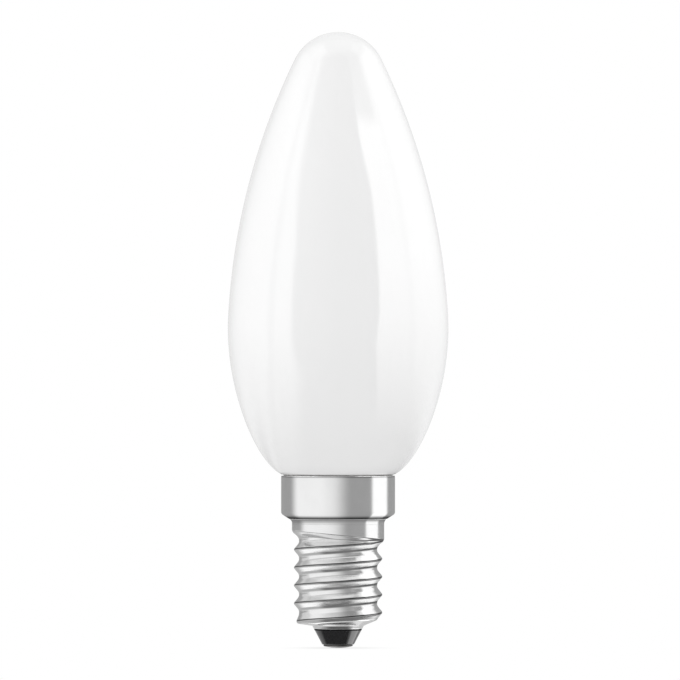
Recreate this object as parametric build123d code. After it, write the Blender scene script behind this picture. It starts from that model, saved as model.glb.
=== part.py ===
from build123d import *

import math
import os

# Opal candle lamp with a skirted E14 screw cap, in millimetres and degrees.
# It stands cap down on the Z axis, and the origin is the lowest point of its centre contact.

# Glass, from the rim of the collar up
bulb_diameter = 34.75
belly_height = 23.1
crown_height = 46.75
tip_radius = 7.6
flank_radius = 105.0
belly_radius = 40.0
heel_drop = 10.5
heel_run = 4.25
heel_slope = 20.0
glass_neck_length = 4.0
rim_gap = 0.1

# Screw shell, one piece of formed sheet
sheet = 0.3
collar_length = 5.7
shoulder_step = 1.71
shoulder_bend = 0.6
shoulder_fillet = 0.8
shoulder_slope = 57.6
neck_length = 2.45
neck_step = 0.315

# Rolled round thread of the E14 cap
thread_diameter = 13.89
thread_depth = 0.8
thread_pitch = 2.822
thread_length = 14.15
first_crest = 2.6
runout_length = 0.65
facets_per_turn = 40
facets_per_pitch = 10

# Closed-in bottom of the shell, steepest on the +X side where the thread's groove runs into it
bottom_slope = 23.5
bottom_tilt = 3.75
bottom_margin = 0.14
lip_diameter = 7.58
lip_length = 0.5

# Insulator, which grips the lip from both sides
insulator_drop = 3.0
insulator_slope = 27.7
insulator_depth = 2.6
insulator_edge = 0.15
flange_clearance = 0.15

# Centre contact under the insulator
button_height = 0.55
button_rise = 0.3
button_margin = 0.2
button_edge = 0.12
shank_diameter = 1.8
shank_stand = 1.0
shank_edge = 0.3

# Cement between the glass neck and the collar
cement_thickness = 0.77

# Heights up the axis
lip_edge = insulator_drop
lip_top = lip_edge + lip_length
crest_height = lip_edge + first_crest
thread_end = lip_edge + thread_length
runout_top = thread_end + thread_pitch / 4 + runout_length
neck_top = thread_end + neck_length
bends = shoulder_bend + shoulder_fillet
shoulder_lean = math.radians(shoulder_slope)
shoulder_rise = ((shoulder_step - bends) * math.cos(shoulder_lean) + bends) / math.sin(shoulder_lean)
shoulder_top = neck_top + shoulder_rise
collar_top = shoulder_top + collar_length
heel_height = collar_top + rim_gap
throat_level = heel_height - cement_thickness * math.tan(math.radians(heel_slope))
cement_low = throat_level - glass_neck_length
belly_level = collar_top + belly_height
apex = belly_level + crown_height

# Radii across it
bulb_radius = bulb_diameter / 2
crest_radius = thread_diameter / 2
root_radius = crest_radius - thread_depth
bore_radius = root_radius - sheet
neck_radius = crest_radius + neck_step
collar_radius = neck_radius + shoulder_step
collar_bore = collar_radius - sheet
glass_neck_radius = collar_bore - cement_thickness
lip_radius = lip_diameter / 2
shank_radius = shank_diameter / 2
foot_radius = lip_radius - (lip_edge - button_height) * math.tan(math.radians(insulator_slope))
button_radius = foot_radius - button_margin

# The arcs of crest and root are alike and tangent halfway down the flank
half_pitch = thread_pitch / 2
thread_arc = (half_pitch**2 + thread_depth**2) / (4 * thread_depth)


def spun(edges):
    """The body that a closed outline in the plane of radius and height makes about the axis."""
    return revolve(Plane.XZ * make_face(edges), Axis.Z)


def chain(*points):
    """Straight edges from point to point."""
    return Polyline(*points).edges()


def rings(body):
    """The closed edges round a spun body, from the lowest up."""
    return body.edges().filter_by(lambda edge: edge.is_closed).sort_by(Axis.Z)


def inner_meeting(centre_a, reach_a, centre_b, reach_b):
    """The point at given distances from two centres that lies nearer to the axis."""
    span = centre_b - centre_a
    along = (reach_a**2 - reach_b**2 + span.length**2) / (2 * span.length)
    across = math.sqrt(reach_a**2 - along**2)
    ahead = span.normalized()
    return centre_a + ahead * along + Vector(ahead.Y, -ahead.X) * across


def arc_about(centre, start, end):
    """The shorter arc about a centre between two points at one distance from it."""
    halfway = ((start - centre) + (end - centre)).normalized()
    return ThreePointArc(start, centre + halfway * (start - centre).length, end)


def halves(curve):
    """A long curve in two lengths, so that the face it makes is meshed in shorter bands."""
    edge = curve.edge()
    return [edge.trim(0, 0.5), edge.trim(0.5, 1)]


def glass_bulb():
    """Sealed glass: tip, flank and belly arcs, a heel that turns in over the rim, and the neck."""
    top = Vector(0, apex)
    belly = Vector(bulb_radius, belly_level)
    tip_centre = Vector(0, apex - tip_radius)
    belly_centre = Vector(bulb_radius - belly_radius, belly_level)
    flank_centre = inner_meeting(
        tip_centre, flank_radius - tip_radius, belly_centre, flank_radius - belly_radius
    )
    flank_top = flank_centre + (tip_centre - flank_centre).normalized() * flank_radius
    flank_low = flank_centre + (belly_centre - flank_centre).normalized() * flank_radius

    lean = math.radians(heel_slope)
    inward = Vector(-math.cos(lean), -math.sin(lean))
    heel = Vector(collar_bore, heel_height)
    heel_curve = Bezier(belly, belly - Vector(0, heel_drop), heel - inward * heel_run, heel)
    outline = [arc_about(tip_centre, top, flank_top)]
    outline += halves(arc_about(flank_centre, flank_top, flank_low))
    outline += [arc_about(belly_centre, flank_low, belly)]
    outline += halves(heel_curve)
    throat = (glass_neck_radius, throat_level)
    neck = chain(heel, throat, (glass_neck_radius, cement_low), (0, cement_low), top)
    return spun(outline + neck)


def basing_cement():
    """Ring that bonds the straight of the glass neck into the collar."""
    return spun(
        chain(
            (glass_neck_radius, cement_low),
            (collar_bore, cement_low),
            (collar_bore, throat_level),
            (glass_neck_radius, throat_level),
            (glass_neck_radius, cement_low),
        )
    )


def skirt():
    """Collar, shoulder and neck of the shell, before it is hollowed."""
    bend_centre = (collar_radius - shoulder_bend, shoulder_top)
    fillet_centre = (neck_radius + shoulder_fillet, neck_top)
    bend = CenterArc(bend_centre, shoulder_bend, 0, -shoulder_slope)
    fillet_arc = CenterArc(fillet_centre, shoulder_fillet, 180 - shoulder_slope, shoulder_slope)
    upper = chain((0, collar_top), (collar_radius, collar_top), (collar_radius, shoulder_top))
    lower = chain((neck_radius, neck_top), (neck_radius, runout_top), (0, runout_top), (0, collar_top))
    return spun(upper + [bend, Line(bend @ 1, fillet_arc @ 0), fillet_arc] + lower)


def thread_radius(rise):
    """Radius of the thread's outer face at a height above one of its crests."""
    off = abs((rise + half_pitch) % thread_pitch - half_pitch)
    if off < half_pitch / 2:
        return crest_radius - thread_arc + math.sqrt(thread_arc**2 - off**2)
    return root_radius + thread_arc - math.sqrt(thread_arc**2 - (half_pitch - off) ** 2)


def barrel_radius(turn, height):
    """Radius of the barrel: the thread grows over its first turn and runs out into the neck."""
    rise = height - crest_height - turn * thread_pitch
    turns_up = math.floor(rise / thread_pitch + 0.5) + turn
    growth = min(max(1 + turns_up, 0), 1)
    thread = root_radius + (thread_radius(rise) - root_radius) * growth
    runout_start = thread_end - thread_pitch / 4 * math.cos(2 * math.pi * turn)
    share = min(max((height - runout_start) / runout_length, 0), 1)
    ease = share**2 * (3 - 2 * share)
    return thread + (neck_radius - thread) * ease


def barrel_section(height):
    """Level section of the barrel, once round from the X axis."""
    points = []
    for facet in range(facets_per_turn):
        turn = facet / facets_per_turn
        radius = barrel_radius(turn, height)
        points.append(Vector(radius, 0, height).rotate(Axis.Z, 360 * turn))
    return Wire.make_polygon(points, close=True)


def threaded_barrel():
    """Right-hand round thread, ruled from section to section up the barrel."""
    rise = runout_top - lip_edge
    steps = math.ceil(facets_per_pitch * rise / thread_pitch)
    sections = [barrel_section(lip_edge + rise * step / steps) for step in range(steps + 1)]
    return Solid.make_loft(sections, ruled=True) & closed_bottom()


def lip_corner(inset):
    """Where the lip turns into the bottom, inset from the sheet's outer face."""
    lip_lean = math.radians(insulator_slope)
    floor_lean = math.radians(bottom_slope)
    corner = Vector(lip_radius + lip_length * math.tan(lip_lean), lip_top)
    lip_normal = Vector(-math.cos(lip_lean), math.sin(lip_lean))
    floor_normal = Vector(-math.sin(floor_lean), math.cos(floor_lean))
    return corner + (lip_normal + floor_normal) * (inset / (1 + lip_normal.dot(floor_normal)))


def floor_height(radius, inset):
    """Height of the sloped bottom at a radius, inset from the sheet's outer face."""
    corner = lip_corner(inset)
    return corner.Y + (radius - corner.X) * math.tan(math.radians(bottom_slope))


def lip_bore(height):
    """Radius of the lip's inner face at a height."""
    corner = lip_corner(sheet)
    return corner.X - (corner.Y - height) * math.tan(math.radians(insulator_slope))


def closed_bottom():
    """Envelope of the barrel: lip, and a bottom that is ruled from the lip to a tilted circle."""
    wide = neck_radius + bottom_margin
    fall = wide * math.tan(math.radians(bottom_tilt))
    corner = lip_corner(0)
    tilted = Plane((0, 0, floor_height(wide, 0) - fall)).rotated((0, -bottom_tilt, 0))
    circles = [
        Wire.make_circle(lip_radius, Plane((0, 0, lip_edge))),
        Wire.make_circle(corner.X, Plane((0, 0, corner.Y))),
        Wire.make_circle(wide, tilted),
        Wire.make_circle(wide, Plane((0, 0, runout_top))),
    ]
    return Solid.make_loft(circles, ruled=True)


def shell_hollow():
    """Inside of the shell: collar, shoulder, neck, plain bore, sloped floor and the lip's hole."""
    above = collar_top + sheet
    below = lip_edge - sheet
    neck_bore = neck_radius - sheet
    shoulder_mid = (shoulder_top + neck_top) / 2
    half_rise = shoulder_step / math.tan(shoulder_lean) / 2
    lift = sheet / math.sin(shoulder_lean) - sheet / math.tan(shoulder_lean)
    return spun(
        chain(
            (0, below),
            (lip_bore(below), below),
            lip_corner(sheet),
            (bore_radius, floor_height(bore_radius, sheet)),
            (bore_radius, runout_top - runout_length),
            (neck_bore, runout_top),
            (neck_bore, shoulder_mid - half_rise + lift),
            (collar_bore, shoulder_mid + half_rise + lift),
            (collar_bore, above),
            (0, above),
            (0, below),
        )
    )


def screw_shell():
    """Formed sheet shell with collar, neck, rolled thread and lipped bottom."""
    return threaded_barrel() + skirt() - shell_hollow()


def insulator():
    """Moulded black glass round the lip: outer cone, waist in the hole and inner flange."""
    top = lip_edge + insulator_depth
    flange_radius = bore_radius - flange_clearance
    body = spun(
        chain(
            (shank_radius, button_height),
            (foot_radius, button_height),
            (lip_radius, lip_edge),
            (lip_bore(lip_edge), lip_edge),
            lip_corner(sheet),
            (flange_radius, floor_height(flange_radius, sheet)),
            (flange_radius, top),
            (shank_radius, top),
            (shank_radius, button_height),
        )
    )
    foot = rings(body).group_by(Axis.Z)[0].sort_by(SortBy.RADIUS)[-1]
    return chamfer(foot, insulator_edge)


def centre_contact():
    """Domed button under the insulator, with its shank through the hole."""
    top = lip_edge + insulator_depth + shank_stand
    dome_edge = (button_radius, button_rise)
    dome = TangentArc((0, 0), dome_edge, tangent=(1, 0))
    rest = chain(
        dome_edge,
        (button_radius, button_height),
        (shank_radius, button_height),
        (shank_radius, top),
        (0, top),
        (0, 0),
    )
    body = chamfer(rings(spun([dome] + rest))[0], button_edge)
    return chamfer(rings(body)[-1], shank_edge)


os.makedirs("parts", exist_ok=True)
pieces = {
    "glass_bulb": glass_bulb(),
    "basing_cement": basing_cement(),
    "screw_shell": screw_shell(),
    "insulator": insulator(),
    "centre_contact": centre_contact(),
}
for name, piece in pieces.items():
    export_step(piece, f"parts/{name}.step")
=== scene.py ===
import functools
import math

import bpy
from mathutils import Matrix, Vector

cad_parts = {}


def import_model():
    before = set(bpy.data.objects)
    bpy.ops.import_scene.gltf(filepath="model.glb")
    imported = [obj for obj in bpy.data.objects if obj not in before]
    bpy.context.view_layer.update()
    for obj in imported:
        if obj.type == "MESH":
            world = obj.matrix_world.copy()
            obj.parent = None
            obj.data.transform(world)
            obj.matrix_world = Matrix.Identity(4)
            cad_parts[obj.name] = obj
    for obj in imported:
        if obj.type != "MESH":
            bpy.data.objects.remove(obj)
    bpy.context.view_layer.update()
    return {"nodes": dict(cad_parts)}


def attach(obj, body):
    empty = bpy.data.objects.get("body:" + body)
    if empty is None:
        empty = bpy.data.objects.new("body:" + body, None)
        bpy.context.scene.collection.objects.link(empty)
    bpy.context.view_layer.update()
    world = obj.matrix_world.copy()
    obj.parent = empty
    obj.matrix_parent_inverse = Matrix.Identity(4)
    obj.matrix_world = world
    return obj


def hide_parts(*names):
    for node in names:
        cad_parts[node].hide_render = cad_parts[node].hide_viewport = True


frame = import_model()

MM = 0.001

# Sizes of the solids, in millimetres
APEX, BELLY_LEVEL, BULB_RADIUS = 97.005, 50.255, 17.375
TIP_RADIUS, FLANK_RADIUS, BELLY_RADIUS = 7.6, 105.0, 40.0
HEEL_HEIGHT, HEEL_DROP, HEEL_RUN, HEEL_SLOPE = 27.255, 10.5, 4.25, math.radians(20)
THROAT_LEVEL, GLASS_NECK, GLASS_END = 26.975, 7.9, 22.975
COLLAR, COLLAR_BORE, COLLAR_TOP = 8.97, 8.67, 27.155
SHOULDER_TOP, NECK_TOP, NECK = 21.455, 19.6, 7.26
BEND, FILLET, SHOULDER_SLOPE = 0.6, 0.8, math.radians(57.6)
CREST, ROOT, PITCH, CREST_HEIGHT = 6.945, 6.145, 2.822, 5.6
LIP_EDGE, LIP, LIP_TOP, LIP_WIDE, LIP_LEAN = 3.0, 3.79, 3.5, 4.0525, math.radians(27.7)
FLOOR_SLOPE, FLOOR_TILT, FLOOR_WIDE = math.radians(23.5), math.radians(3.75), 7.4
BORE, NECK_BORE, SHEET = 5.845, 6.96, 0.3
FOOT, FOOT_LEVEL, FLANGE_TOP, FLANGE_GAP = 2.504, 0.55, 5.6, 0.15
BUTTON, BUTTON_RISE, SHANK, SHANK_TOP = 2.304, 0.3, 0.9, 6.6

# Sizes that the scene adds, in millimetres: the thread's profile and run-out, rounded edges, and painted
# shade marks on the crest and under the lip
CREST_ARC, FLANK = 0.3, math.radians(40)
THREAD_END, RUNOUT = 17.0, 0.95
RUNOUT_TOP = THREAD_END + PITCH / 4 + RUNOUT
RIM_WIDE, RIM_TALL, RIM_EDGE = 0.08, 0.4, 0.05
CORNER_EASE, LIP_BLEND, LIP_ROUND, SHEET_ROUND = 0.22, 0.12, 0.07, 0.09
THROAT_ROUND, INSULATOR_ROUND, CONTACT_ROUND = 0.35, 0.16, 0.12
LEDGE, LEDGE_ROUND = 0.12, 0.04
# Painted shade: the dark line painted along the crest, then the band under the lip that loses the gloss coat
CREST_SHADE, CREST_SHADE_SOFT, CREST_SHADE_RISE, CREST_SHADE_GROWTH = 0.19, 0.04, 0.05, 0.3
SHADE_BAND, SHADE_BAND_SOFT = 0.22, 0.03

# Facets round the pieces, steps along their outlines, and the height of the thread's rows in millimetres
GLASS_FACETS, SHELL_FACETS, INSULATOR_FACETS, CONTACT_FACETS = 192, 256, 160, 128
TIP_STEPS, FLANK_STEPS, BELLY_STEPS, HEEL_STEPS = 44, 110, 10, 100
ROW_HEIGHT, WALL_STEPS, CORNER_STEPS, FLOOR_STEPS = 0.06, 32, 6, 14

# Levels and reaches of the studio cards, in millimetres
HIGH_LEVEL, HIGH_NEAR, HIGH_FAR, HIGH_TOP = 27.26, 9.3, 150, 450
MID_LEVEL, MID_NEAR, MID_FAR = 27.16, 9.02, 30
MID_START, MID_END = (14, 20.31), (30, 27.15)
BEND_LEVEL, BEND_NEAR, BEND_FAR = 20.3, 7.67, 14
FILLET_LEVEL, FILLET_NEAR, FILLET_FAR = 19.5, 7.28, 8.6
HEEL_CARD_LEVEL, HEEL_CARD_NEAR, HEEL_CARD_FAR, HEEL_CARD_GLOW = 27.2, 8.99, 11.5, 0.86
SHELF_LEVEL, SHELF_NEAR, SHELF_FAR = 20.28, 7.66, 14.05
LOW_LEVEL, LOW_NEAR, LOW_MIDDLE, LOW_FAR = 27.17, 30.05, 60, 600
LOW_WALL_TOP, LOW_FLOOR, LOW_HOLE = 27.1, -2200, 1
FOOT_REACH, FOOT_SPARE_WIDTH, FOOT_SPARE_HEIGHT = 9, 0.3, 0.6

# Levels from which the cards' directions are taken, in millimetres
BULB_MIDDLE, THREAD_MIDDLE = 55, 14


def arc(centre, radius, start, end, steps):
    """Points of an arc in the plane of radius and height, angles in radians."""
    points = []
    for k in range(steps + 1):
        a = start + (end - start) * k / steps
        points.append((centre[0] + radius * math.cos(a), centre[1] + radius * math.sin(a)))
    return points


def line(start, end, steps):
    """Evenly spaced points from start to end, both included."""
    return [
        (start[0] + (end[0] - start[0]) * k / steps, start[1] + (end[1] - start[1]) * k / steps)
        for k in range(steps + 1)
    ]


def rounded(corners, radius, steps=5):
    """An open path with its inner corners rounded."""
    most = 0.48  # share of a side that one rounding may take
    path = [corners[0]]
    for before, here, after in zip(corners, corners[1:], corners[2:]):
        p, a, b = Vector(here), Vector(before), Vector(after)
        u, v = (a - p).normalized(), (b - p).normalized()
        half = u.angle(v) / 2
        reach = min(radius / math.tan(half), (a - p).length * most, (b - p).length * most)
        bend = reach * math.tan(half)
        centre = p + (u + v).normalized() * (bend / math.sin(half))
        first, last = p + u * reach - centre, p + v * reach - centre
        turn = first.angle_signed(last)
        for k in range(steps + 1):
            a = -turn * k / steps
            c, s = math.cos(a), math.sin(a)
            path.append((centre.x + first.x * c - first.y * s, centre.y + first.x * s + first.y * c))
    path.append(corners[-1])
    return path


def joined(*paths):
    """Paths end to end, without their doubled points."""
    same = 1e-4
    out = []
    for path in paths:
        for p in path:
            if not out or math.dist(out[-1], p) > same:
                out.append(tuple(p))
    return out


def smooth(low, high, x):
    """0 below low, 1 above high, eased between them."""
    t = ease(low, high, x)
    return t * t * (3 - 2 * t)


def ease(low, high, x):
    """0 below low, 1 above high, even between them."""
    return min(max((x - low) / (high - low), 0), 1)


def blend(start, end, share):
    """A value between start and end."""
    return start + (end - start) * share


def turned(name, path, facets, loop=False):
    """A body turned about the axis; a point of the path is a radius and height, or gives them for a turn."""
    on_axis = 1e-5
    verts, rings = [], []
    for point in path:
        if not callable(point) and point[0] < on_axis:
            rings.append([len(verts)] * facets)
            verts.append((0, 0, point[1] * MM))
            continue
        ring = []
        for k in range(facets):
            turn = k / facets
            r, z = point(turn) if callable(point) else point
            a = 2 * math.pi * turn
            ring.append(len(verts))
            verts.append((r * math.cos(a) * MM, r * math.sin(a) * MM, z * MM))
        rings.append(ring)
    pairs = list(zip(rings, rings[1:]))
    if loop:
        pairs.append((rings[-1], rings[0]))
    faces = []
    for upper, lower in pairs:
        for k in range(facets):
            j = (k + 1) % facets
            quad = [upper[k], lower[k], lower[j], upper[j]]
            faces.append(list(dict.fromkeys(quad)))
    mesh = bpy.data.meshes.new(name)
    mesh.from_pydata(verts, [], faces)
    mesh.polygons.foreach_set("use_smooth", [True] * len(mesh.polygons))
    mesh.update()
    return placed(name, mesh)


def placed(name, data):
    """A new object of the scene."""
    thing = bpy.data.objects.new(name, data)
    bpy.context.scene.collection.objects.link(thing)
    return thing


def marked(piece, name, mark):
    """Gives each vertex of a piece a value for the material, from its radius, turn and height."""
    marks = []
    for vertex in piece.data.vertices:
        x, y, z = vertex.co / MM
        marks.append(mark(math.hypot(x, y), math.atan2(y, x) / (2 * math.pi) % 1, z))
    piece.data.attributes.new(name, "FLOAT", "POINT").data.foreach_set("value", marks)
    return piece


def painted_crest_shade(r, turn, z):
    """A dark line painted along the crest of the thread: painted shade, carried in the plate's colour."""
    above, growth, runout = thread_place(turn, z)
    if r <= thread_radius(turn, z) - SHEET / 2:
        return 0
    off = abs(above - CREST_SHADE_RISE)
    stripe = 1 - smooth(CREST_SHADE / 2 - CREST_SHADE_SOFT, CREST_SHADE / 2 + CREST_SHADE_SOFT, off)
    return stripe * smooth(0, CREST_SHADE_GROWTH, growth) * (1 - runout)


def painted_shade_band(r, turn, z):
    """A dull band painted as shade along the top of the insulator's cone, under the lip."""
    return 1 if r > LIP - SHEET and LIP_EDGE - SHADE_BAND < z < LIP_EDGE + SHADE_BAND_SOFT else 0


def stand_for(piece, node, material):
    """Puts a piece in the place of a solid."""
    piece.data.materials.append(material)
    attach(piece, "root")
    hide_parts(node)


def glass_path():
    """Outline of the glass from the tip down to the end of its neck."""
    tip_centre = Vector((0, APEX - TIP_RADIUS))
    belly_centre = Vector((BULB_RADIUS - BELLY_RADIUS, BELLY_LEVEL))
    reach_a, reach_b = FLANK_RADIUS - TIP_RADIUS, FLANK_RADIUS - BELLY_RADIUS
    span = belly_centre - tip_centre
    along = (reach_a**2 - reach_b**2 + span.length**2) / (2 * span.length)
    across = math.sqrt(reach_a**2 - along**2)
    ahead = span.normalized()
    flank_centre = tip_centre + ahead * along + Vector((ahead.y, -ahead.x)) * across
    up, low = tip_centre - flank_centre, belly_centre - flank_centre
    flank_top, flank_low = math.atan2(up.y, up.x), math.atan2(low.y, low.x)
    heel = Vector((COLLAR_BORE, HEEL_HEIGHT))
    inward = Vector((-math.cos(HEEL_SLOPE), -math.sin(HEEL_SLOPE)))
    b0 = Vector((BULB_RADIUS, BELLY_LEVEL))
    b1, b2, b3 = b0 - Vector((0, HEEL_DROP)), heel - inward * HEEL_RUN, heel
    curve = []
    for k in range(HEEL_STEPS + 1):
        t = k / HEEL_STEPS
        s = 1 - t
        p = b0 * s**3 + b1 * (3 * s * s * t) + b2 * (3 * s * t * t) + b3 * t**3
        curve.append((p.x, p.y))
    throat = [heel, (GLASS_NECK, THROAT_LEVEL), (GLASS_NECK, GLASS_END), (0, GLASS_END)]
    tip = arc(tip_centre, TIP_RADIUS, math.pi / 2, flank_top, TIP_STEPS)
    return joined(
        [(0, APEX)] + tip[1:],
        arc(flank_centre, FLANK_RADIUS, flank_top, flank_low, FLANK_STEPS),
        arc(belly_centre, BELLY_RADIUS, flank_low, 0, BELLY_STEPS),
        curve,
        rounded(throat, THROAT_ROUND),
    )


def thread_place(turn, z):
    """Height above the nearest crest, how far the thread has grown and how far it has run out."""
    rise = z - CREST_HEIGHT - turn * PITCH
    above = (rise + PITCH / 2) % PITCH - PITCH / 2
    growth = min(max(1 + math.floor(rise / PITCH + 0.5) + turn, 0), 1)
    start = THREAD_END - PITCH / 4 * math.cos(2 * math.pi * turn)
    return above, growth, smooth(start, start + RUNOUT, z)


def thread_radius(turn, z):
    """Radius of the barrel: the thread grows over its first turn and runs out into the neck."""
    above, growth, runout = thread_place(turn, z)
    off, inward = abs(above), PITCH / 2 - abs(above)
    both_arcs = (PITCH / 2 * math.sin(FLANK) - (CREST - ROOT) * math.cos(FLANK)) / (1 - math.cos(FLANK))
    root_arc = both_arcs - CREST_ARC
    if off < CREST_ARC * math.sin(FLANK):
        thread = CREST - CREST_ARC + math.sqrt(CREST_ARC**2 - off**2)
    elif inward < root_arc * math.sin(FLANK):
        thread = ROOT + root_arc - math.sqrt(root_arc**2 - inward**2)
    else:
        drop = (off - CREST_ARC * math.sin(FLANK)) * math.tan(FLANK)
        thread = CREST - CREST_ARC * (1 - math.cos(FLANK)) - drop
    return blend(blend(ROOT, thread, growth), NECK, runout)


def floor_height(turn, r):
    """Height of the closed-in bottom, which is steepest on the +X side."""
    middle = LIP_TOP + (FLOOR_WIDE - LIP_WIDE) * math.tan(FLOOR_SLOPE) - FLOOR_WIDE * math.tan(FLOOR_TILT)
    far = middle + FLOOR_WIDE * math.sin(FLOOR_TILT) * math.cos(2 * math.pi * turn)
    return LIP_TOP + (far - LIP_TOP) * (r - LIP_WIDE) / (FLOOR_WIDE - LIP_WIDE)


@functools.cache
def floor_meeting(turn):
    """Height at which the thread meets the bottom."""
    step, halvings = 0.05, 20
    high = CREST_HEIGHT
    while floor_height(turn, thread_radius(turn, high)) < high:
        high -= step
    low, high = high, high + step
    for _ in range(halvings):
        z = (low + high) / 2
        if floor_height(turn, thread_radius(turn, z)) < z:
            high = z
        else:
            low = z
    return high


def barrel_points():
    """Rows of the threaded barrel and its bottom, from the neck down to the lip, with the corner eased."""
    low = CREST_HEIGHT + 0.4  # lowest level row, above the corner on every side
    steps = math.ceil((RUNOUT_TOP - low) / ROW_HEIGHT)
    rows = []

    def wall(share):
        def at(turn):
            z = blend(low, floor_meeting(turn) + CORNER_EASE, share)
            return thread_radius(turn, z), z

        return at

    def corner(share):
        def at(turn):
            z = floor_meeting(turn)
            r = thread_radius(turn, z)
            a = Vector((thread_radius(turn, z + CORNER_EASE), z + CORNER_EASE))
            b = Vector((r, z))
            c = Vector((r - CORNER_EASE, floor_height(turn, r - CORNER_EASE)))
            p = a * (1 - share) ** 2 + b * (2 * share * (1 - share)) + c * share**2
            return p.x, p.y

        return at

    def bottom(share):
        def at(turn):
            start = thread_radius(turn, floor_meeting(turn)) - CORNER_EASE
            r = blend(start, LIP_WIDE + LIP_BLEND, share)
            return r, floor_height(turn, r)

        return at

    for z in [RUNOUT_TOP + (low - RUNOUT_TOP) * k / steps for k in range(1, steps)]:
        rows.append(lambda turn, z=z: (thread_radius(turn, z), z))
    rows += [wall(k / WALL_STEPS) for k in range(WALL_STEPS)]
    rows += [corner(k / CORNER_STEPS) for k in range(CORNER_STEPS)]
    rows += [bottom(k / FLOOR_STEPS) for k in range(FLOOR_STEPS + 1)]
    return rows


def lip_inside():
    """The sheet's inner corner between lip and bottom, and the inner corner of the lip's edge."""
    lean_x, lean_z = math.cos(LIP_LEAN), math.sin(LIP_LEAN)
    floor_x, floor_z = math.sin(FLOOR_SLOPE), math.cos(FLOOR_SLOPE)
    inset = SHEET / (1 + lean_x * floor_x + lean_z * floor_z)
    x = LIP_WIDE - inset * (lean_x + floor_x)
    z = LIP_TOP + inset * (lean_z + floor_z)
    return (x, z), (x - (z - LIP_EDGE) * math.tan(LIP_LEAN), LIP_EDGE)


def over_floor(corner, r):
    """The point at a radius on the sheet's inner bottom, which rises outward from its inner corner."""
    return r, corner[1] + (r - corner[0]) * math.tan(FLOOR_SLOPE)


def shell_path():
    """Outline of the formed sheet: outside from the rim to the lip, and back up inside."""
    start, end = COLLAR_TOP - 0.6, COLLAR_TOP - 0.7  # where the loop begins and ends in the collar's bore
    rim_end = COLLAR_TOP - 0.5
    middle_turn = 0.25  # where the bottom has its middle slope
    rim_steps, bend_steps, fillet_steps, collar_steps, neck_steps, lip_steps = 12, 12, 14, 10, 5, 6
    inner, lip_corner = lip_inside()
    half_rise = (COLLAR - NECK) / math.tan(SHOULDER_SLOPE) / 2
    lift = SHEET / math.sin(SHOULDER_SLOPE) - SHEET / math.tan(SHOULDER_SLOPE)
    middle = (SHOULDER_TOP + NECK_TOP) / 2 + lift
    rim = [(COLLAR_BORE, start), (COLLAR_BORE, COLLAR_TOP - RIM_EDGE), (COLLAR_BORE + RIM_EDGE, COLLAR_TOP)]
    for k in range(rim_steps + 1):
        a = math.pi / 2 * (1 - k / rim_steps)
        rim.append((COLLAR - RIM_WIDE * (1 - math.cos(a)), COLLAR_TOP - RIM_TALL * (1 - math.sin(a))))
    skirt = joined(
        rim,
        line((COLLAR, rim_end), (COLLAR, SHOULDER_TOP), collar_steps),
        arc((COLLAR - BEND, SHOULDER_TOP), BEND, 0, -SHOULDER_SLOPE, bend_steps),
        arc((NECK + FILLET, NECK_TOP), FILLET, math.pi - SHOULDER_SLOPE, math.pi, fillet_steps),
        line((NECK, NECK_TOP), (NECK, RUNOUT_TOP), neck_steps),
    )
    lip_middle = ((LIP_WIDE + LIP) / 2, (LIP_TOP + LIP_EDGE) / 2)
    lip_start = (LIP_WIDE + LIP_BLEND, floor_height(middle_turn, LIP_WIDE + LIP_BLEND))
    lip_top = rounded([lip_start, (LIP_WIDE, LIP_TOP), lip_middle], LIP_ROUND)
    inside = rounded(
        [
            lip_middle,
            (LIP, LIP_EDGE),
            lip_corner,
            inner,
            over_floor(inner, BORE),
            (BORE, RUNOUT_TOP - RUNOUT),
            (NECK_BORE, RUNOUT_TOP),
            (NECK_BORE, middle - half_rise),
            (COLLAR_BORE, middle + half_rise),
            (COLLAR_BORE, end),
        ],
        SHEET_ROUND,
    )
    lip_face = line(lip_top[-2], inside[1], lip_steps)
    return skirt + barrel_points() + joined(lip_top[1:-1], lip_face, inside[1:])


def insulator_path():
    """Outline of the black glass: hole, foot, outer cone, the part under the lip and the inner flange."""
    start, end = 2.8, 3.0  # where the loop begins and ends in the hole
    round_steps, cone_steps = 7, 12
    inner, lip_corner = lip_inside()
    flange = BORE - FLANGE_GAP
    lean = (LIP - FOOT) / (LIP_EDGE - FOOT_LEVEL)
    # Where the painted shade band under the lip begins and ends on the cone
    painted_shade_band_low = (LIP - (SHADE_BAND + SHADE_BAND_SOFT) * lean, LIP_EDGE - SHADE_BAND - SHADE_BAND_SOFT)
    painted_shade_band_high = (LIP - (SHADE_BAND - SHADE_BAND_SOFT) * lean, LIP_EDGE - SHADE_BAND + SHADE_BAND_SOFT)
    ledge = (LIP - LEDGE, LIP_EDGE)
    corners = [(SHANK, start), (SHANK, FOOT_LEVEL), (FOOT, FOOT_LEVEL), painted_shade_band_low]
    foot = rounded(corners, INSULATOR_ROUND, round_steps)
    upper = rounded(
        [
            ledge,
            lip_corner,
            inner,
            over_floor(inner, flange),
            (flange, FLANGE_TOP),
            (SHANK, FLANGE_TOP),
            (SHANK, end),
        ],
        INSULATOR_ROUND,
        round_steps,
    )
    return joined(
        foot[:-1],
        line(foot[-2], painted_shade_band_low, cone_steps),
        rounded([painted_shade_band_high, (LIP, LIP_EDGE), ledge], LEDGE_ROUND),
        upper,
    )


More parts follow.
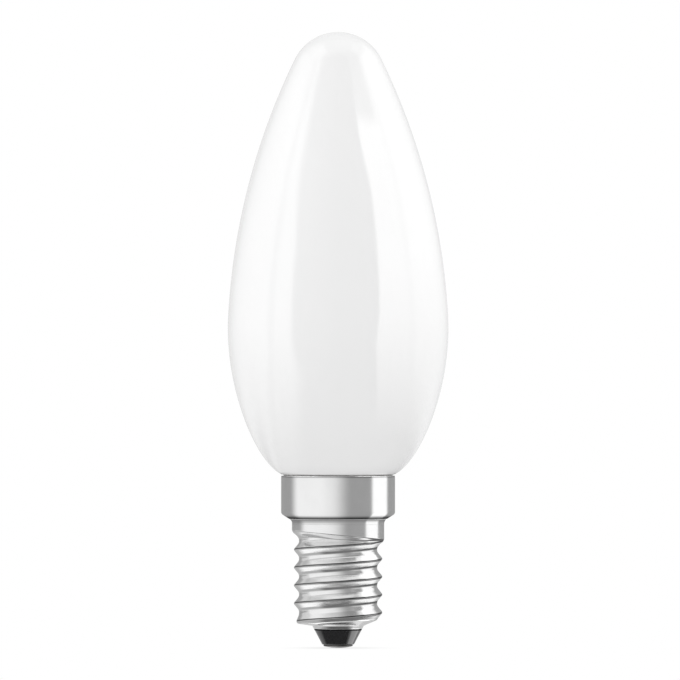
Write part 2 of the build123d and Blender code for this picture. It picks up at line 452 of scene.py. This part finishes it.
def contact_path():
    """Outline of the button and its shank, from the lowest point up."""
    dome_share, dome_steps = 0.94, 16
    dome_radius = (BUTTON**2 + BUTTON_RISE**2) / (2 * BUTTON_RISE)
    reach = math.asin(BUTTON / dome_radius)
    dome = arc((0, dome_radius), dome_radius, -math.pi / 2, -math.pi / 2 + reach * dome_share, dome_steps)
    rest = rounded(
        [
            dome[-1],
            (BUTTON, BUTTON_RISE),
            (BUTTON, FOOT_LEVEL),
            (SHANK, FOOT_LEVEL),
            (SHANK, SHANK_TOP),
            (0, SHANK_TOP),
        ],
        CONTACT_ROUND,
    )
    return joined([(0, 0)] + dome[1:], rest)


class Graph:
    """A small helper for the node trees of materials and of the world."""

    def __init__(self, owner, output="ShaderNodeOutputMaterial"):
        self.owner = owner
        owner.use_nodes = True
        self.tree = owner.node_tree
        self.tree.nodes.clear()
        self.out = self.add(output)

    def add(self, kind, **values):
        """A node with some of its settings and inputs filled."""
        node = self.tree.nodes.new(kind)
        for key, value in values.items():
            if hasattr(node, key):
                setattr(node, key, value)
            else:
                self.fill(node.inputs[key.replace("_", " ")], value)
        return node

    def fill(self, socket, value):
        """Links a socket to the value if that is a socket too, and otherwise sets it."""
        if isinstance(value, bpy.types.NodeSocket):
            self.tree.links.new(value, socket)
        else:
            socket.default_value = value

    def noise(self, scale, detail, stretch=(1, 1, 1)):
        """Noise in the object's own space."""
        where = self.add("ShaderNodeTexCoord")
        place = self.add("ShaderNodeMapping", Scale=stretch, Vector=where.outputs["Object"])
        noise = self.add("ShaderNodeTexNoise", Scale=scale, Detail=detail, Vector=place.outputs["Vector"])
        return noise.outputs["Fac"]

    def mark(self, name):
        """A value that the vertices hold."""
        return self.add("ShaderNodeAttribute", attribute_name=name).outputs["Fac"]

    def ramp(self, source, low, high, start=0.3, end=0.7):
        """From low to high as the source goes from start to end."""
        values = {"Value": source, "From_Min": start, "From_Max": end, "To_Min": low, "To_Max": high}
        return self.add("ShaderNodeMapRange", **values).outputs["Result"]

    def tint(self, source, first, second):
        """A colour between two, each of them a tuple or a socket."""
        node = self.add("ShaderNodeMix", data_type="RGBA", Factor=source)
        colours = {"A": first, "B": second}
        for socket in node.inputs:
            if socket.type == "RGBA":
                colour = colours[socket.name]
                self.fill(socket, (*colour, 1) if isinstance(colour, tuple) else colour)
        return next(s for s in node.outputs if s.type == "RGBA")

    def bump(self, source, strength, distance):
        """A normal bent by the source, with the distance in metres."""
        node = self.add("ShaderNodeBump", Strength=strength, Distance=distance, Height=source)
        return node.outputs["Normal"]

    def surface(self, **values):
        """Makes the surface from a principled shader."""
        shader = self.add("ShaderNodeBsdfPrincipled", **values)
        self.fill(self.out.inputs["Surface"], shader.outputs["BSDF"])

    def pick(self, share, first, second):
        """Makes the surface from two shaders, the second where the share is 1."""
        mix = self.add("ShaderNodeMixShader", Fac=share)
        self.fill(mix.inputs[1], first)
        self.fill(mix.inputs[2], second)
        self.fill(self.out.inputs["Surface"], mix.outputs["Shader"])


def grey(value):
    """A colour without a hue."""
    return (value, value, value)


def material_graph(name):
    """The graph of a new material."""
    return Graph(bpy.data.materials.new(name))


def opal_glass():
    """White opal glass, faintly clouded, with a gloss that varies a little."""
    graph = material_graph("opal_glass")
    graph.surface(
        IOR=1.52,
        Base_Color=graph.tint(graph.noise(scale=90, detail=2.0), grey(0.864), grey(0.884)),
        Roughness=graph.ramp(graph.noise(scale=700, detail=3.0), low=0.06, high=0.1),
        Normal=graph.bump(graph.noise(scale=120, detail=1.0), strength=0.02, distance=0.001),
    )
    return graph.owner


def cap_metal():
    """Bright plate with fine lines round the cap, and a dark line of painted shade along the thread's crest.
    """
    graph = material_graph("cap_metal")
    lines = graph.noise(scale=60, detail=4.0, stretch=(6, 6, 160))
    bright = graph.tint(graph.noise(scale=500, detail=4.0), grey(0.80), grey(0.86))
    graph.surface(
        Metallic=1.0,
        # Painted shade: the plate's colour turns dark along the thread's crest
        Base_Color=graph.tint(graph.mark("painted_crest_shade"), bright, grey(0.05)),
        Roughness=graph.ramp(lines, low=0.15, high=0.19),
        Normal=graph.bump(lines, strength=0.012, distance=0.0002),
    )
    return graph.owner


def black_glass():
    """Black glass with a gloss coat, left off a band under the lip as painted shade."""
    graph = material_graph("cap_insulator")
    cloud = graph.noise(scale=900, detail=3.0)
    graph.surface(
        Specular_IOR_Level=0.0,
        Coat_IOR=1.9,
        Coat_Roughness=0.08,
        # Painted shade: the band under the lip has no coat, so it shows dark
        Coat_Weight=graph.ramp(graph.mark("painted_shade_band"), low=1, high=0, start=0, end=1),
        Base_Color=graph.tint(cloud, (0.008, 0.008, 0.009), (0.016, 0.016, 0.017)),
        Roughness=graph.ramp(cloud, low=0.1, high=0.18),
        Normal=graph.bump(graph.noise(scale=600, detail=2.0), strength=0.05, distance=0.0003),
    )
    return graph.owner


def contact_metal():
    """Dull plated metal, its colour painted dark as shade under the tip."""
    graph = material_graph("contact_metal")
    cloud = graph.noise(scale=900, detail=4.0)
    graph.surface(
        Metallic=1.0,
        # Painted shade: far darker than bare plate, standing for the shade under the tip
        Base_Color=graph.tint(cloud, (0.09, 0.088, 0.085), (0.15, 0.147, 0.143)),
        Roughness=graph.ramp(cloud, low=0.28, high=0.42),
        Normal=graph.bump(graph.noise(scale=1500, detail=3.0), strength=0.08, distance=0.0002),
    )
    return graph.owner


def cement():
    """Matt grained cement."""
    graph = material_graph("cement")
    grain = graph.noise(scale=2500, detail=5.0)
    graph.surface(
        Base_Color=graph.tint(grain, (0.36, 0.32, 0.26), (0.5, 0.46, 0.38)),
        Roughness=graph.ramp(grain, low=0.75, high=0.95),
        Normal=graph.bump(grain, strength=0.3, distance=0.0002),
    )
    return graph.owner


def panel(bearing, start, end, soft_start, soft_end):
    """How much of a panel is seen at a bearing, with softened ends."""
    begun = smooth(start - soft_start, start + soft_start, bearing)
    return begun * (1 - smooth(end - soft_end, end + soft_end, bearing))


# Brightness of the studio cards, 1 for white. Bearings and rises are degrees, bearings right of the camera.


def glow_high(bearing, r, z):
    """The cards that the glass sees: a broad light on the left and another on the right."""
    rise = math.degrees(math.atan2(z - BULB_MIDDLE, r))
    base = 0.3 + 0.5 * smooth(60, 130, abs(bearing))
    high, low = smooth(18, 32, rise), 1 - smooth(-26, -6, rise)
    left_edge, left_soft = -47 - 6 * high + 9 * low, 4 + 3 * high + 6 * low
    left = 2.3 * (1 - smooth(left_edge - left_soft, left_edge + left_soft, bearing))
    left += 0.9 * ease(0, 46, -bearing) - 0.7 * panel(bearing, -75, -67, 3, 3)
    left *= blend(ease(-80, -3, rise), ease(-58, 0, rise), 1 - smooth(-100, -80, bearing))
    left *= smooth(-155, -70, bearing) * (1 - 0.3 * smooth(36, 50, rise))
    right_edge = 43 - 5 * (1 - smooth(-12, 14, rise)) - 8 * smooth(28, 42, rise)
    right = 3.3 * smooth(right_edge - 2, right_edge + 2, bearing) * (1 - smooth(75, 165, bearing))
    right -= 0.5 * panel(bearing, 76, 84, 3, 3)
    right *= 1 - 0.7 * panel(bearing, 30, 72, 4, 10) * smooth(43.5, 45.5, rise + 0.15 * (bearing - 36))
    right *= ease(-55, 14, rise) * (1 - 0.6 * smooth(46, 56, rise))
    return base + left + right


def level(bearing):
    """Round the cap at its own height: a broad field on the left and a strip on the right."""
    field = smooth(-114, -88, bearing)
    field *= 1 - 0.16 * smooth(-38, -8, bearing) - 0.84 * smooth(-16, 28, bearing)
    return 0.37 + 0.65 * field + 0.83 * panel(bearing, 73.5, 118.5, 3, 3)


def glow_mid(bearing, r, z):
    """The cards close round the collar, darker over the rim."""
    if z > COLLAR_TOP:
        return level(bearing) * (0.45 + 0.55 * smooth(8.5, 15, r))
    return level(bearing)


def left_patch(bearing):
    """A light patch far on the left that only the thread sees."""
    return panel(bearing, -135, -104, 8, 6)


def right_wing(bearing):
    """The dimmer part of the thread's strip, in front of the collar's strip."""
    return panel(bearing, 42, 73, 10, 3)


def sides(bearing):
    """What the thread sees beyond the level: the patch on the left and a wider strip on the right."""
    return 0.35 * left_patch(bearing) + 0.3 * right_wing(bearing) + 0.6 * panel(bearing, 118, 129, 3, 4)


def glow_above(bearing, r):
    """The cards over the thread: bright close above it, a darker gap, and level with it further out."""
    strip = panel(bearing, 58, 128, 10, 5)
    near = 0.97 - 0.47 * (1 - smooth(-105, -80, bearing)) + 0.5 * strip
    gap = 0.1 + 0.55 * level(bearing) + 0.2 * left_patch(bearing) + 0.7 * strip
    wide = level(bearing) + sides(bearing) * (1 - smooth(150, 300, r)) * (1 - right_wing(bearing))
    return blend(blend(near, gap, smooth(9.9, 10.6, r)), wide, smooth(13, 24, r))


def facet(bearing, rise):
    """Tilt of the facet that shows a direction to the camera, and its side doubled, in degrees."""
    bearing, rise = math.radians(bearing), math.radians(rise)
    x, y = math.sin(bearing) * math.cos(rise), -math.cos(bearing) * math.cos(rise)
    half = Vector((x, y - 1, math.sin(rise))).normalized()
    return math.degrees(math.asin(half.z)), 2 * math.degrees(math.atan2(half.x, -half.y))


def glow_low(bearing, r, z):
    """The cards that the thread sees, on the wall and floor by the facet that shows them to the camera."""
    on_wall = z < COLLAR_TOP - 0.1 and r > LOW_NEAR + 1
    if not on_wall:
        return glow_above(bearing, r)
    tilt, side = facet(bearing, math.degrees(math.atan2(z - THREAD_MIDDLE, r)))
    wide = level(side) + sides(side) * (1 - smooth(-6, -2, tilt))
    band = 0.5 - 0.31 * smooth(-58, -30, side) - 0.06 * smooth(50, 80, side)
    flank = 1.25 - 0.5 * panel(side, -15, 55, 25, 15)
    flank -= 0.75 * (1 - smooth(-135, -95, side)) + 0.65 * smooth(118, 145, side)
    flank *= 1 - 0.3 * (1 - smooth(-56, -44, tilt)) * smooth(0, 60, side)
    band_end = -19 - 3 * smooth(0, 40, side)
    value = blend(flank, band, smooth(-39.5, -36.5, tilt))
    return blend(value, wide, smooth(band_end, band_end + 14, tilt))


def shade_foot(bearing, z):
    """What the insulator shows: dark in front, with a strip on the right. The lip above it is lighter."""
    side = 0.62 + 1.3 * panel(bearing, 72, 124, 3.5, 7)
    foot = blend(side, 0.12, panel(bearing, -96, 60, 12, 5))
    lip = 0.62 - 0.5 * panel(bearing, -62, 60, 30, 25)
    return blend(foot, lip, smooth(LIP_EDGE - 0.4, LIP_EDGE - 0.15, z))


def shade_bend(bearing, z):
    """How the foot of the collar darkens towards the neck."""
    dark, bright = 20.47, 21.03
    return level(bearing) * (0.1 + 0.9 * smooth(dark, bright, z))


def shade_fillet(bearing, z):
    """How the neck brightens below the shoulder, faster on the right."""
    slow_top, fast_top, fast_end = 20.25, 20.28, 19.85
    slow = 0.1 + 0.75 * (1 - ease(NECK_TOP, slow_top, z))
    fast = 1 - ease(fast_end, fast_top, z)
    return blend(0.2, level(bearing), blend(slow, fast, smooth(0, 30, bearing)))


def around(path, glow):
    """Rows of card points right round the axis."""
    rows = []
    for r, z in path:
        row = []
        for bearing in range(-180, 181):
            a = math.radians(bearing)
            row.append((r * math.sin(a), -r * math.cos(a), z, glow(bearing, r, z)))
        rows.append(row)
    return rows


def facing(path, glow, mirror):
    """Rows of near card points, placed where an upright mirror of that radius shows them to the camera."""
    rows = []
    for r, z in path:
        row = [(0, r, z, glow(-180, r, z))]
        for side in range(-90, 91):
            a = math.radians(side)
            a = 2 * a - math.asin(min(mirror / r, 1) * math.sin(a))
            row.append((r * math.sin(a), -r * math.cos(a), z, glow(2 * side, r, z)))
        row.append((0, r, z, glow(180, r, z)))
        rows.append(row)
    return rows


def mirrored(r, tilt, side):
    """Where a face that looks down lies at a side, and how a camera ray goes on from it and falls."""
    a = math.radians(side)
    out = math.cos(tilt) * math.cos(a)
    start = Vector((r * math.sin(a), -r * math.cos(a)))
    ahead = Vector((2 * out * math.cos(tilt) * math.sin(a), 1 - 2 * out**2))
    return start, ahead, 2 * out * math.sin(tilt)


def under(profile, level_z, nearest, farthest, shade):
    """Rows of card points on a level plane, placed where a face that looks down shows them to the camera."""
    rows = []
    for r, z, tilt in profile:
        row = []
        for side in range(-86, 87, 2):
            start, ahead, fall = mirrored(r, tilt, side)
            place = start + ahead * ((z - level_z) / fall)
            place *= min(max(place.length, nearest), farthest) / place.length
            row.append((place.x, place.y, level_z, shade(2 * side, z)))
        rows.append(row)
    return rows


def beside(profile, reach, shade):
    """Rows of card points on an upright ring, where a face that looks down shows them to the camera."""
    rows = []
    for r, z, tilt in profile:
        row = []
        for side in range(-88, 89, 2):
            start, ahead, fall = mirrored(r, tilt, side)
            along = start.dot(ahead) / ahead.dot(ahead)
            travel = math.sqrt(along**2 + (reach**2 - r * r) / ahead.dot(ahead)) - along
            place = start + ahead * travel
            row.append((place.x, place.y, z - travel * fall, shade(2 * side, z)))
        rows.append(row)
    return rows


def cards(name, rows, seen_by="glossy"):
    """Studio cards that only one kind of ray sees."""
    verts, faces, values = [], [], []
    wide = len(rows[0])
    for row in rows:
        for x, y, z, glow in row:
            verts.append((x * MM, y * MM, z * MM))
            values.append(glow)
    for j in range(len(rows) - 1):
        for k in range(wide - 1):
            first, second = j * wide + k, (j + 1) * wide + k
            faces.append([first, first + 1, second + 1, second])
    mesh = bpy.data.meshes.new(name)
    mesh.from_pydata(verts, [], faces)
    mesh.attributes.new("glow", "FLOAT", "POINT").data.foreach_set("value", values)
    card = placed(name, mesh)
    graph = material_graph(name)
    light = graph.add("ShaderNodeEmission", Strength=graph.mark("glow"))
    graph.fill(graph.out.inputs["Surface"], light.outputs["Emission"])
    mesh.materials.append(graph.owner)
    for ray in ("camera", "diffuse", "glossy", "transmission", "volume_scatter", "shadow"):
        setattr(card, f"visible_{ray}", ray == seen_by)


def shoulder_profiles():
    """Radius, height and tilt down the bend and slope under the collar, and down the fillet to the neck."""
    bend_steps, slope_steps, fillet_steps = 12, 12, 13
    bend, fillet = [], []
    for k in range(1, bend_steps + 1):
        a = SHOULDER_SLOPE * k / bend_steps
        bend.append((COLLAR - BEND + BEND * math.cos(a), SHOULDER_TOP - BEND * math.sin(a), a))
    for k in range(fillet_steps):
        a = SHOULDER_SLOPE * (1 - k / fillet_steps)
        fillet.append((NECK + FILLET * (1 - math.cos(a)), NECK_TOP + FILLET * math.sin(a), a))
    slope = line(bend[-1], fillet[0], slope_steps)[1:-1]
    return bend + [(r, z, SHOULDER_SLOPE) for r, z in slope], fillet


def foot_profile():
    """Radius, height and tilt up the insulator's cone and the lip over it."""
    tilt = math.atan2(LIP - FOOT, LIP_EDGE - FOOT_LEVEL)
    low = (FOOT - FOOT_SPARE_WIDTH, FOOT_LEVEL - FOOT_SPARE_HEIGHT)
    high = (LIP + FOOT_SPARE_WIDTH, LIP_EDGE + FOOT_SPARE_HEIGHT)
    return [(r, z, tilt) for r, z in line(low, high, steps=32)]


def studio():
    """The cards round the lamp."""
    high_path = joined(
        line((HIGH_NEAR, HIGH_LEVEL), (HIGH_FAR, HIGH_LEVEL), steps=70),
        line((HIGH_FAR, HIGH_LEVEL), (HIGH_FAR, HIGH_TOP), steps=70),
    )
    mid_path = joined(
        line(MID_START, MID_END, steps=8),
        line((MID_FAR, MID_LEVEL), (MID_NEAR, MID_LEVEL), steps=42),
    )
    heel_path = line((HEEL_CARD_NEAR, HEEL_CARD_LEVEL), (HEEL_CARD_FAR, HEEL_CARD_LEVEL), steps=4)
    low_path = joined(
        line((SHELF_NEAR, SHELF_LEVEL), (SHELF_FAR, SHELF_LEVEL), steps=8),
        line((SHELF_FAR, SHELF_LEVEL), (LOW_NEAR, LOW_LEVEL), steps=8),
        line((LOW_NEAR, LOW_LEVEL), (LOW_MIDDLE, LOW_LEVEL), steps=30),
        line((LOW_MIDDLE, LOW_LEVEL), (LOW_FAR, LOW_LEVEL), steps=60),
        line((LOW_FAR, LOW_WALL_TOP), (LOW_FAR, LOW_FLOOR), steps=240),
        line((LOW_FAR, LOW_FLOOR), (LOW_HOLE, LOW_FLOOR), steps=20),
    )
    bend_profile, fillet_profile = shoulder_profiles()
    cards("cards_high", around(high_path, glow_high))
    cards("cards_mid", facing(mid_path, glow_mid, COLLAR))
    cards("cards_bend", under(bend_profile, BEND_LEVEL, BEND_NEAR, BEND_FAR, shade_bend))
    cards("cards_fillet", under(fillet_profile, FILLET_LEVEL, FILLET_NEAR, FILLET_FAR, shade_fillet))
    cards("card_heel", around(heel_path, lambda bearing, r, z: HEEL_CARD_GLOW), "diffuse")
    cards("cards_low", around(low_path, glow_low))
    cards("cards_foot", beside(foot_profile(), FOOT_REACH, shade_foot))


def floor():
    """Pale floor, white to the camera, that keeps the object's shadow."""
    size, shadow_reach, shadow = 3.0, 0.012, 0.8
    corners = [(-size, -size, 0), (size, -size, 0), (size, size, 0), (-size, size, 0)]
    mesh = bpy.data.meshes.new("floor")
    mesh.from_pydata(corners, [], [[0, 1, 2, 3]])
    plate = placed("floor", mesh)
    graph = material_graph("floor")
    rays = graph.add("ShaderNodeLightPath")
    shade = graph.add("ShaderNodeAmbientOcclusion", samples=16, Distance=shadow_reach)
    tone = graph.ramp(shade.outputs["AO"], low=shadow, high=1.0, start=0.1, end=0.8)
    white = graph.add("ShaderNodeEmission", Strength=tone)
    matt = graph.add("ShaderNodeBsdfDiffuse", Color=(*grey(0.9), 1))
    graph.pick(rays.outputs["Is Camera Ray"], matt.outputs["BSDF"], white.outputs["Emission"])
    mesh.materials.append(graph.owner)
    plate.visible_glossy = False


def world():
    """White to the camera, to gloss and through glass, and a soft sky for the rest."""
    sky_strength, white_colour = 0.855, (*grey(1), 1)
    graph = Graph(bpy.data.worlds.new("studio"), "ShaderNodeOutputWorld")
    bpy.context.scene.world = graph.owner
    rays = graph.add("ShaderNodeLightPath")
    soft = graph.add("ShaderNodeBackground", Color=white_colour, Strength=sky_strength)
    white = graph.add("ShaderNodeBackground", Color=white_colour, Strength=1.0)
    seen = rays.outputs["Is Camera Ray"]
    for ray in ("Is Glossy Ray", "Is Transmission Ray"):
        either = graph.add("ShaderNodeMath", operation="MAXIMUM")
        graph.fill(either.inputs[0], seen)
        graph.fill(either.inputs[1], rays.outputs[ray])
        seen = either.outputs[0]
    graph.pick(seen, soft.outputs["Background"], white.outputs["Background"])


def lamp(name, place, size, power):
    """A soft box aimed at the middle of the object, in metres and watts."""
    middle = Vector((0, 0, 0.05))
    data = bpy.data.lights.new(name, "AREA")
    data.shape = "RECTANGLE"
    data.size, data.size_y = size
    data.energy = power
    box = placed(name, data)
    box.location = place
    box.rotation_mode = "QUATERNION"
    box.rotation_quaternion = (middle - Vector(place)).to_track_quat("-Z", "Y")
    box.visible_glossy = False
    box.visible_camera = False


def camera():
    """Level, on a long lens, at the framing of the photograph, in metres."""
    distance, height, aside, width = 2.0, 0.0485, 0.0003, 0.1071
    data = bpy.data.cameras.new("camera")
    view = placed("camera", data)
    data.sensor_width = 36.0
    data.lens = data.sensor_width * distance / width
    data.clip_end = 20.0
    view.location = (aside, -distance, height)
    view.rotation_euler = (math.pi / 2, 0, 0)
    bpy.context.scene.camera = view


bulb = turned("opal_bulb", glass_path(), GLASS_FACETS)
shell = turned("cap_shell", shell_path(), SHELL_FACETS, loop=True)
insulator = turned("cap_glass", insulator_path(), INSULATOR_FACETS, loop=True)
contact = turned("cap_contact", contact_path(), CONTACT_FACETS)
stand_for(bulb, "glass_bulb", opal_glass())
# The shell's vertices carry the painted shade line along the crest
stand_for(marked(shell, "painted_crest_shade", painted_crest_shade), "screw_shell", cap_metal())
# The insulator's vertices carry the painted shade band under the lip
stand_for(marked(insulator, "painted_shade_band", painted_shade_band), "insulator", black_glass())
stand_for(contact, "centre_contact", contact_metal())
ring = frame["nodes"]["basing_cement"]
ring.data.materials.clear()
ring.data.materials.append(cement())

studio()
floor()
world()
lamp("box_top", place=(0.0, -0.15, 0.7), size=(0.6, 0.6), power=0.8)
lamp("box_left", place=(-0.5, -0.5, 0.2), size=(0.4, 0.6), power=0.3)
lamp("box_right", place=(0.5, -0.5, 0.2), size=(0.4, 0.6), power=0.3)
camera()
bpy.context.scene.view_settings.view_transform = "Standard"
